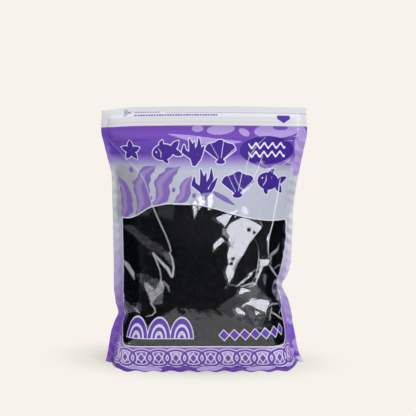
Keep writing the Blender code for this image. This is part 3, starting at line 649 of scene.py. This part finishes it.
def pale_print_and_highlights(flat):
    """Lavender bubbles and swirls printed on the violet ground, and pale patches along the foot and the right side
    that are painted highlights.
    """
    swirl = stroke(flat, ((-44, 286, 0.4), (-18, 281, 3.4), (14, 276, 4.4), (46, 277, 0.5)))
    return np.maximum(union([swirl] + [disc(flat, *place) for place in PALE_PRINT_AND_HIGHLIGHT_PATCHES]), -disc(flat, 92, 294, 9, 3))


def edge_wear(flat):
    """How far the ink thins out towards the side seals, in slanting streaks."""
    x, z = np.abs(flat[:, 0]), flat[:, 1]
    start = 112 + 6 * smooth_step((z - 160) / 25)
    streak = 0.45 * np.sin((z + 0.9 * x) / 2.6 + 2 * np.sin(z / 13))
    thin = smooth_step((x - start) / (123 - start)) + streak * smooth_step((x - start) / 5)
    return np.clip(thin, 0, 1) * smooth_step((286 - z) / 12)


def chain_print(flat):
    """A chain of linked ovals with a lozenge in each, round the foot, in place of plain border lines."""
    links = []
    for x in range(-100, 99, 18):
        links += [np.abs(disc(flat, x, 17.5, 12, 10.2)) - 1.4, lozenge(flat, x, 17.5, 3.4, 5.4, 2.6)]
    return np.maximum(union(links), np.abs(flat[:, 0]) - 116)


def window_marks(flat):
    """What is printed on the clear window: a row of wave scallops and a short chain of lozenges."""
    marks = [lozenge(flat, 23 + 11.2 * i, 47 + 0.5 * i, 4.9, 6.2, 3.8) for i in range(7)]
    for x in (-71, -46.5, -22):
        dx, dz = flat[:, 0] - x, flat[:, 1] - 43
        radius = np.hypot(dx, dz * 0.47)
        arcs = union((np.abs(radius - 10.2) - 1.7, np.abs(radius - 5.6) - 1.2, radius - 2.2))
        marks.append(np.maximum(arcs, -dz))
    return union(marks)


def header_marks(flat):
    """The tear line, a pair of scissors and two rows of small dashes, on the white header."""
    x = flat[:, 0]
    marks = [
        np.where(x > -46, dashes(flat, 311, 0.45, 2.9, 0.85), FAR),
        np.maximum(dashes(flat, 308.4, 0.95, 3.3, 1.2), np.abs(x + 35) - 51),
        np.maximum(dashes(flat, 311.8, 0.6, 2.9, 1), np.abs(x + 70) - 16),
    ]
    for side in (-1, 1):
        marks.append(stroke(flat, ((-95, 312 + side * 1.8, 0.5), (-89, 312 - side * 1.5, 0.35))))
        marks.append(np.abs(disc(flat, -96.5, 312 + side * 2.2, 1.9, 1.5)) - 0.45)
    return union(marks)


def arrow_mark(flat):
    """The downward arrow at the right of the header."""
    dx, dz = np.abs(flat[:, 0] - 96), flat[:, 1] - 305.6
    return np.maximum(np.maximum((dx / 9.4 - dz / 6.2 - 1) * 5, dz - 3), dx - 7.8)


def panel_print(flat):
    """A plain panel of the back, where a pouch of this kind has its table."""
    dx, dz = np.abs(flat[:, 0]) - 70, np.abs(flat[:, 1] - 120) - 62
    return np.hypot(np.maximum(dx + PANEL_CORNER, 0), np.maximum(dz + PANEL_CORNER, 0)) - PANEL_CORNER


def beyond(points, at, value):
    """How far a value lies beyond a smooth line, measured square to the line."""
    slope = (smooth_curve(points, at + 0.001) - smooth_curve(points, at - 0.001)) / 0.002
    return (value - smooth_curve(points, at)) / np.hypot(1, slope)


def window_distance(x, z):
    """How far a point of the flat front web is outside the window, in metres, or inside it where negative."""
    across = np.maximum(beyond(WINDOW_RIGHT, z, x), -beyond(WINDOW_LEFT, z, x)) + WINDOW_CORNER
    below = WINDOW_CORNER - beyond(WINDOW_FOOT, x, z)
    rounded = np.minimum(np.maximum(across, below), 0) + np.hypot(np.maximum(across, 0), np.maximum(below, 0))
    return np.maximum(rounded - WINDOW_CORNER, beyond(WINDOW_TOP, x, z))


def snap_to_window(flat, cell):
    """Moves the flat points that lie within half a cell of the window's outline onto it."""
    tiny = 1e-5
    for _ in range(3):
        x, z = flat.T * MM
        distance = window_distance(x, z)
        across = (window_distance(x + tiny, z) - window_distance(x - tiny, z)) / (2 * tiny)
        up = (window_distance(x, z + tiny) - window_distance(x, z - tiny)) / (2 * tiny)
        near = np.abs(distance) < cell / 2
        flat[near] -= (np.stack((across, up), axis=1) * distance[:, None] / MM)[near]
    for x in (WINDOW_LEFT[-1][1], WINDOW_RIGHT[-1][1]):
        corner = np.array((x, float(smooth_curve(WINDOW_TOP, x)))) / MM
        flat[np.argmin(np.hypot(*(flat - corner).T))] = corner
    return flat


# Looks
def linear(code):
    """An sRGB hex colour as linear light."""
    parts = [int(code[i:i + 2], 16) / 255 for i in (1, 3, 5)]
    return (*(c / 12.92 if c <= 0.04045 else ((c + 0.055) / 1.055) ** 2.4 for c in parts), 1)


def add(tree, kind, inputs=None, **settings):
    """Adds a shader node. Each of its inputs is given a value, a hex colour, a socket or a node to read."""
    node = tree.nodes.new("ShaderNode" + kind)
    for key, value in settings.items():
        setattr(node, key, value)
    for key, value in (inputs or {}).items():
        if isinstance(value, bpy.types.Node):
            value = value.outputs[0]
        if isinstance(value, bpy.types.NodeSocket):
            tree.links.new(value, node.inputs[key])
        else:
            node.inputs[key].default_value = linear(value) if isinstance(value, str) else value
    return node


def empty_tree(owner):
    owner.use_nodes = True
    owner.node_tree.nodes.clear()
    return owner.node_tree


def new_material(name, build):
    """A material whose surface is the shader that a function builds in its tree."""
    material = bpy.data.materials.new(name)
    tree = empty_tree(material)
    add(tree, "OutputMaterial", {"Surface": build(tree)})
    return material


def reading(tree, attribute):
    return add(tree, "Attribute", attribute_name=attribute).outputs["Fac"]


def mix_colour(tree, factor, below, above):
    return add(tree, "Mix", {0: factor, 6: below, 7: above}, data_type="RGBA").outputs[2]


def mix_shader(tree, factor, below, above):
    return add(tree, "MixShader", {0: factor, 1: below, 2: above})


def printed(tree, attribute, grow=0.0, soft=0.25):
    """1 where the attribute's distance is under grow millimetres, with an edge soft to each side, and 0 beyond."""
    return add(tree, "MapRange", {
        "Value": reading(tree, attribute), "From Min": grow - soft, "From Max": grow + soft, "To Min": 1, "To Max": 0,
    })


def ink(tree, below, attribute, colour, grow=0.0, soft=0.25):
    """Prints one colour over another wherever the attribute's distance is under grow millimetres."""
    return mix_colour(tree, printed(tree, attribute, grow, soft), below, colour)


def ramp(tree, factor, stops):
    """A colour ramp through (place, hex colour) stops."""
    node = add(tree, "ValToRGB", {"Fac": factor})
    while len(node.color_ramp.elements) < len(stops):
        node.color_ramp.elements.new(0.5)
    for element, (place, code) in zip(node.color_ramp.elements, stops):
        element.position = place
        element.color = linear(code)
    return node.outputs["Color"]


def cloudy(tree, size, detail=3.0, roughness=0.5):
    """Noise with lumps of a given size in millimetres."""
    place = add(tree, "TexCoord").outputs["Object"]
    return add(tree, "TexNoise", {
        "Vector": place, "Scale": 1 / (size * MM), "Detail": detail, "Roughness": roughness,
    }).outputs["Fac"]


def film_bump(tree, strength):
    """Fine crinkles of thin film."""
    crinkle = cloudy(tree, 2.5, 2.0, 0.45)
    return add(tree, "Bump", {"Height": crinkle, "Strength": strength, "Distance": 0.15 * MM})


def plastic(tree, colour, roughness, bump):
    return add(tree, "BsdfPrincipled", {"Base Color": colour, "Roughness": roughness, "IOR": 1.5, "Normal": bump})


def printed_film(tree):
    """Violet and silver gravure print on clear laminate: even, saturated ink under a smooth, tight gloss."""
    place = reading(tree, "tone")
    colour, worn = (ramp(tree, place, [(z / (HEIGHT / MM), code) for z, code in stops]) for stops in (GROUND, WORN))
    for layer in INKS_UNDER_WEAR:
        colour = ink(tree, colour, *layer)
    colour = mix_colour(tree, reading(tree, "edge"), colour, worn)
    for layer in INKS_OVER_WEAR:
        colour = ink(tree, colour, *layer)
    # painted highlights and reflections: the print is mixed towards white where the white attribute says
    colour = mix_colour(tree, reading(tree, "white"), colour, "#f2f1f6")
    return plastic(tree, colour, 0.12, film_bump(tree, 0.3))


def white_film(tree):
    """White ink under laminate: smooth and glossy, with a faint cool cast."""
    colour = ink(tree, "#e2e1e5", "marks", "#7463b0", 0, 0.2)
    colour = ink(tree, colour, "arrow", "#5b35a8", 0, 0.2)
    return plastic(tree, colour, 0.25, film_bump(tree, 0.25))


def clear_film(tree):
    """Clear polyester laminate: almost no colour of its own, hard bright reflections off every crease."""
    bump = film_bump(tree, 0.09)
    mirror = add(tree, "Fresnel", {"IOR": 1.52, "Normal": bump})
    gloss = add(tree, "BsdfGlossy", {"Color": (0.88, 0.9, 1, 1), "Roughness": 0.05, "Normal": bump})
    film = mix_shader(tree, mirror, add(tree, "BsdfTransparent"), gloss)
    # painted highlights and reflections: the clear film turns to matt white where the white attribute says
    film = mix_shader(tree, reading(tree, "white"), film, add(tree, "BsdfDiffuse", {"Color": "#e4e4ea"}))
    marks = plastic(tree, ink(tree, "#d9d4ea", "marks", "#5d3cab"), 0.2, bump)
    return mix_shader(tree, printed(tree, "marks", 0.95), film, marks)


def dried_seaweed(tree):
    """Dried wakame: blackish green-brown blades, matt and salt-dulled, mottled and finely wrinkled."""
    colour = ramp(tree, cloudy(tree, 9), ((0.3, "#0c0d0f"), (0.52, "#15171a"), (0.72, "#232526")))
    bump = add(tree, "Bump", {"Height": cloudy(tree, 0.8), "Strength": 0.6, "Distance": 0.3 * MM})
    return add(tree, "BsdfPrincipled", {
        "Base Color": colour, "Roughness": 0.62, "Specular IOR Level": 0.25, "Normal": bump,
    })


def natural_polythene(tree):
    """Extruded natural polythene: milky and waxy."""
    return plastic(tree, "#dcdce2", 0.35, film_bump(tree, 0.2))


# Pieces
def mesh_from(bm, name, material=None):
    """Turns a bmesh into a mesh, and frees it."""
    mesh = bpy.data.meshes.new(name)
    bm.to_mesh(mesh)
    bm.free()
    if material:
        mesh.materials.append(material)
    return mesh


def new_object(name, data):
    thing = bpy.data.objects.new(name, data)
    bpy.context.scene.collection.objects.link(thing)
    return thing


def thicken(piece, thickness):
    """Gives a sheet its real thickness, half to each side."""
    wall = piece.modifiers.new("wall", "SOLIDIFY")
    wall.thickness = thickness
    wall.offset = 0


def grid(columns, rows, size=1):
    """A square bmesh grid, and where its points are on it."""
    bm = bmesh.new()
    bmesh.ops.create_grid(bm, x_segments=columns, y_segments=rows, size=size)
    bm.verts.index_update()
    return bm, np.array([v.co[:2] for v in bm.verts])


def flat_grid(low, high, cell, finer=1.0, band=None):
    """A flat web as a bmesh grid, and its points in millimetres. Rows are finer in the band. Heights in metres."""
    band = band or (low, high)
    share = (band[1] - band[0]) * finer
    total = (high - low) - (band[1] - band[0]) + share
    bm, flat = grid(round(WEB_WIDTH / cell[0]), round(total / cell[1]))
    flat[:, 0] *= WEB_WIDTH / 2 / MM
    stops = np.array((0, band[0] - low, band[0] - low + share, total)) / total
    flat[:, 1] = np.interp((flat[:, 1] + 1) / 2, stops, (low / MM, band[0] / MM, band[1] / MM, high / MM))
    return bm, flat


def store(bm, prints):
    """Stores a value for every vertex, or one for each, as an attribute of the mesh."""
    for name, values in prints.items():
        layer = bm.verts.layers.float.new(name)
        values = np.broadcast_to(values, len(bm.verts))
        for v in bm.verts:
            v[layer] = values[v.index]


def form(bm, flat, side, height, prints):
    """Bends a flat grid into its web, raised by height millimetres, and stores its print."""
    points = web_points(flat, side) + web_normals(flat, side) * height[:, None] * MM
    for v in bm.verts:
        v.co = points[v.index]
    store(bm, prints)
    if side > 0:
        bmesh.ops.reverse_faces(bm, faces=bm.faces)


def film_piece(name, bm, material, slot, *nodes):
    """Makes a piece of film with its real thickness, standing for CAD nodes."""
    piece = new_object(name, mesh_from(bm, name, material))
    piece.data.shade_smooth()
    thicken(piece, FILM)
    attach(piece, "root")
    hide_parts(*nodes)


def tone(flat):
    """Where a point lies on the ground's scale of colours. The lower fade is higher on the left."""
    x, z = flat.T
    return (z + 0.05 * x * smooth_step((240 - z) / 40)) / (HEIGHT / MM)


def front_web(print_material, window_material):
    """The front web below the header, cut along the window's outline into the print and the clear window."""
    bm, flat = flat_grid(0, HEADER_FOOT, FRONT_CELL, WINDOW_FINER, WINDOW_BAND)
    flat = snap_to_window(flat, min(FRONT_CELL))
    distance = window_distance(*(flat.T * MM)) / MM
    form(bm, flat, -1, relief(flat), {
        # pale holds print and painted highlights
        "tone": tone(flat), "pale": pale_print_and_highlights(flat), "kelp": kelp_print(flat), "chain": chain_print(flat),
        # white holds the painted highlights and reflections
        "title": title_print(flat), "marks": window_marks(flat), "white": painted_highlights(flat),
        "line": np.minimum(distance - WINDOW_LINE, badge_waves(flat)), "blade": kelp_light(flat),
        # badge holds the printed badge and the painted fold shadow
        "edge": edge_wear(flat), "badge": badge_print_and_fold_shadow(flat), "dull": outside(flat, PAINTED_SHADE_PATCH),
    # dull holds the painted shade at the upper left
    })
    for face in list(bm.faces):
        values = [distance[v.index] for v in face.verts]
        near = [v for v in face.verts if abs(distance[v.index]) < ON_OUTLINE]
        if min(values) < -ON_OUTLINE and max(values) > ON_OUTLINE and len(near) == 2:
            bmesh.utils.face_split(face, *near)
    for name, inside, material, slot, node in (
        ("window_film", True, window_material, "clear_film", "front_window"),
        ("front_print_film", False, print_material, "violet_print", "front_print"),
    ):
        piece = bm.copy()
        piece.verts.index_update()
        gone = [f for f in piece.faces if (sum(distance[v.index] for v in f.verts) > 0) == inside]
        bmesh.ops.delete(piece, geom=gone, context="FACES")
        film_piece(name, piece, material, slot, node)
    bm.free()


def back_web(material):
    bm, flat = flat_grid(0, HEADER_FOOT, BACK_CELL)
    mirrored, panel = flat * (-1, 1), panel_print(flat)
    form(bm, flat, 1, back_relief(flat), {
        **NO_PRINT_OR_PAINTED_LIGHT, "tone": tone(flat), "pale": pale_print_and_highlights(mirrored), "edge": edge_wear(flat),
        "kelp": np.maximum(kelp_print(mirrored), 2 - panel), "chain": chain_print(flat), "line": np.abs(panel) - 0.8,
    })
    film_piece("back_print_film", bm, material, "violet_print", "back_print")


def headers(material):
    for name, side, node in (("front_header_film", -1, "front_header"), ("back_header_film", 1, "back_header")):
        bm, flat = flat_grid(HEADER_FOOT, HEIGHT, HEADER_CELL)
        marks, arrow = (header_marks(flat), arrow_mark(flat)) if side < 0 else (FAR, FAR)
        ridges = sum(ZIP_RISE * np.exp(-(((flat[:, 1] - z) / ZIP_WIDTH) ** 2)) for z in ZIP_LEVELS)
        form(bm, flat, side, ridges, {"marks": marks, "arrow": arrow})
        film_piece(name, bm, material, "white_print", node)


def base_gusset(material):
    """The floor of the pouch, welded inside both bottom seals."""
    rows = [(-share, z) for share, z in BASE_PROFILE] + [(share, z) for share, z in reversed(BASE_PROFILE)]
    shares, heights = np.array(rows).T
    bm, spots = grid(*BASE_CELLS)
    u = spots[:, 0] * BASE_SHARE
    place = (spots[:, 1] + 1) / 2 * (len(rows) - 1)
    share, z = np.interp(place, range(len(rows)), shares), np.interp(place, range(len(rows)), heights)
    lift = smooth_step((np.abs(u) - BASE_LIFT_FROM) / (1 - BASE_LIFT_FROM))
    z = z + (FIN_HEIGHT - z) * lift
    flat = np.column_stack((u * WEB_WIDTH / 2 / MM, z / MM))
    front, back = web_points(flat, -1), web_points(flat, 1)
    y0, y1 = front[:, 1] + BASE_INSET, back[:, 1] - BASE_INSET
    y = y0 + (y1 - y0) * (share + 1) / 2
    z += BASE_SAG * (1 - lift) * (np.abs(share) < 0.8) * np.abs(soft_noise(spots, 0.11, 5))
    for v in bm.verts:
        v.co = front[v.index, 0], y[v.index], z[v.index]
    store(bm, {**NO_PRINT_OR_PAINTED_LIGHT, "tone": 0.06})
    bmesh.ops.reverse_faces(bm, faces=bm.faces)
    film_piece("base_gusset_film", bm, material, "violet_print", "base_web")


def flake_shape(draw):
    """One small curled blade with an uneven outline, as a sheet about 1 unit long."""
    bm, _ = grid(3, 1, 0.5)
    bend, twist = draw.uniform(0.1, 0.5), draw.uniform(-0.5, 0.5)
    for v in bm.verts:
        x, y = v.co.x, v.co.y * draw.uniform(0.45, 1.0) * (1.0 - 1.1 * v.co.x**2)
        v.co = x, y * 0.55, bend * (0.25 - x * x) * 0.8 + twist * x * y + draw.uniform(-0.04, 0.04)
    return mesh_from(bm, "flake")


def wakame_flakes(material):
    """Loose flakes packed behind the window, over the heap."""
    draw = random.Random(SEED + 2)
    shapes = [flake_shape(draw) for _ in range(FLAKE_SHAPES)]
    spots = np.array([(draw.uniform(-117, 117), draw.uniform(24, 212)) for _ in range(FLAKES)])
    between = (web_points(spots, 1) - web_points(spots, -1))[:, 1]
    kept = (window_distance(*(spots.T * MM)) < FLAKE_MARGIN) & (between > FLAKE_ROOM)
    spots, between = spots[kept], between[kept]
    normals = web_normals(spots, -1)
    around = [relief(spots + step) for step in ((0, 0), (-4, 0), (4, 0), (0, -4), (0, 4))]
    points = web_points(spots, -1) + normals * np.minimum(np.min(around, axis=0), 0)[:, None] * MM
    bm = bmesh.new()
    for thick, point, normal in zip(between, points, normals):
        size = min(draw.uniform(*FLAKE_SIZES) * MM, FLAKE_SHARE * thick)
        out = Vector(normal)
        turn = out.to_track_quat("Z", "X").to_matrix().to_4x4() @ Matrix.Rotation(draw.uniform(0, 6.283), 4, "Z")
        turn = turn @ Matrix.Rotation(draw.uniform(-FLAKE_TILT, FLAKE_TILT), 4, "X")
        deep = FLAKE_DEPTH + size * 0.22 + draw.uniform(0, FLAKE_SCATTER)
        place = Matrix.Translation(Vector(point) - out * deep) @ turn @ Matrix.Scale(size, 4)
        first = len(bm.verts)
        bm.from_mesh(draw.choice(shapes))
        bm.verts.ensure_lookup_table()
        bmesh.ops.transform(bm, matrix=place, verts=bm.verts[first:])
    for shape in shapes:
        bpy.data.meshes.remove(shape)
    piece = new_object("wakame_flakes", mesh_from(bm, "wakame_flakes", material))
    thicken(piece, FLAKE_WALL)
    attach(piece, "root")


# Studio: a pale table, one bright softbox to the right, a dim card to the left, dark room beyond
def rising(tree, mapping, start, end):
    """0 to 1 as the length of a mapped place goes from start to end."""
    reach = add(tree, "VectorMath", {0: mapping}, operation="LENGTH").outputs["Value"]
    return add(tree, "MapRange", {"Value": reach, "From Min": start, "From Max": end})


def table_top(tree):
    """A pale table that glows evenly, with a painted shadow round the pouch's foot, and whose rim fades out."""
    place = add(tree, "TexCoord").outputs["Object"]
    rim = add(tree, "Mapping", {"Vector": place, "Location": (0.07, 0, 0), "Scale": (0.8, 1, 1)})
    foot = add(tree, "Mapping", {
        "Vector": place, "Location": (-0.015, 0.015, 0), "Rotation": (0, 0, -0.12), "Scale": (1, 1 / 1.9, 1),
    }, vector_type="TEXTURE")
    # painted shadow: the table's even glow darkens round the pouch's foot
    glow = add(tree, "Emission", {"Color": ramp(tree, rising(tree, foot, 0.1, 0.2), TABLE_SHADE), "Strength": 1})
    return mix_shader(tree, rising(tree, rim, 0.25, 0.275), glow, add(tree, "BsdfTransparent"))


def table():
    """A table top whose rim fades into the backdrop."""
    bm, _ = grid(8, 8, TABLE_REACH)
    floor = new_object("table", mesh_from(bm, "table", new_material("pale_table_painted_shadow", table_top)))


def room():
    """The backdrop's colour for the camera, soft light for matt surfaces, and darkness for reflections."""
    bpy.context.scene.world = world = bpy.data.worlds.new("room")
    tree = empty_tree(world)
    path = add(tree, "LightPath")
    backdrop = add(tree, "Background", {"Color": BACKDROP, "Strength": 1})
    ambient = add(tree, "Background", {"Color": (0.96, 0.98, 1, 1), "Strength": 0.68})
    dark = add(tree, "Background", {"Color": (0.82, 0.9, 1, 1), "Strength": 0.035})
    seen = mix_shader(tree, path.outputs["Is Diffuse Ray"], dark, ambient)
    add(tree, "OutputWorld", {"Surface": mix_shader(tree, path.outputs["Is Camera Ray"], seen, backdrop)})


def lamp(name, azimuth, rise, distance, width, height, radiance, matt=False):
    """A soft area light that faces the pouch, and lights matt surfaces or glossy ones only."""
    data = bpy.data.lights.new(name, "AREA")
    data.shape = "RECTANGLE"
    data.size, data.size_y = width, height
    data.energy = radiance * math.pi * width * height
    light = new_object(name, data)
    way = Vector(facing(azimuth, rise))
    light.location = Vector((0, 0, 0.15)) + way * distance
    light.rotation_euler = way.to_track_quat("Z", "Y").to_euler()
    light.visible_diffuse = matt
    light.visible_glossy = not matt
    light.visible_camera = False


def studio():
    table()
    room()
    lamp("right_softbox", 36, 0, 1.3, 0.36, 0.4, 8.5)
    lamp("table_bounce", 38, -14, 0.9, 0.75, 0.16, 0.8)
    lamp("left_card", -36, 13, 1.3, 0.42, 0.28, 0.25)
    lamp("ceiling", 0, 45, 1.5, 2.6, 1.2, 0.25)
    lamp("left_wall", -90, 24, 1.5, 2.1, 1.2, 0.24)
    lamp("right_wall", 95, 24, 1.5, 1.2, 1.2, 0.4)
    lamp("overhead", 0, 78, 1.8, 1.8, 1.8, 0.7, matt=True)
    lamp("key", 42, 38, 1.6, 1.0, 1.0, 3.3, matt=True)
    data = bpy.data.cameras.new("camera")
    data.sensor_width = SENSOR
    data.lens = SENSOR * CAMERA_RANGE / FRAME_WIDTH
    camera = new_object("camera", data)
    way = Vector(facing(0, CAMERA_RISE))
    camera.location = CAMERA_TARGET + way * CAMERA_RANGE
    camera.rotation_euler = way.to_track_quat("Z", "Y").to_euler()
    bpy.context.scene.camera = camera
    bpy.context.scene.view_settings.view_transform = "Standard"


violet = new_material("gravure_printed_laminate", printed_film)
seaweed = new_material("dried_wakame", dried_seaweed)
polythene = new_material("natural_polythene", natural_polythene)
front_web(violet, new_material("clear_polyester_laminate", clear_film))
back_web(violet)
headers(new_material("white_printed_laminate", white_film))
base_gusset(violet)
wakame_flakes(seaweed)
for node, material in (("wakame", seaweed), ("zip_rib", polythene), ("zip_channel", polythene)):
    for slot in bpy.data.objects[node].material_slots:
        slot.material = material
studio()
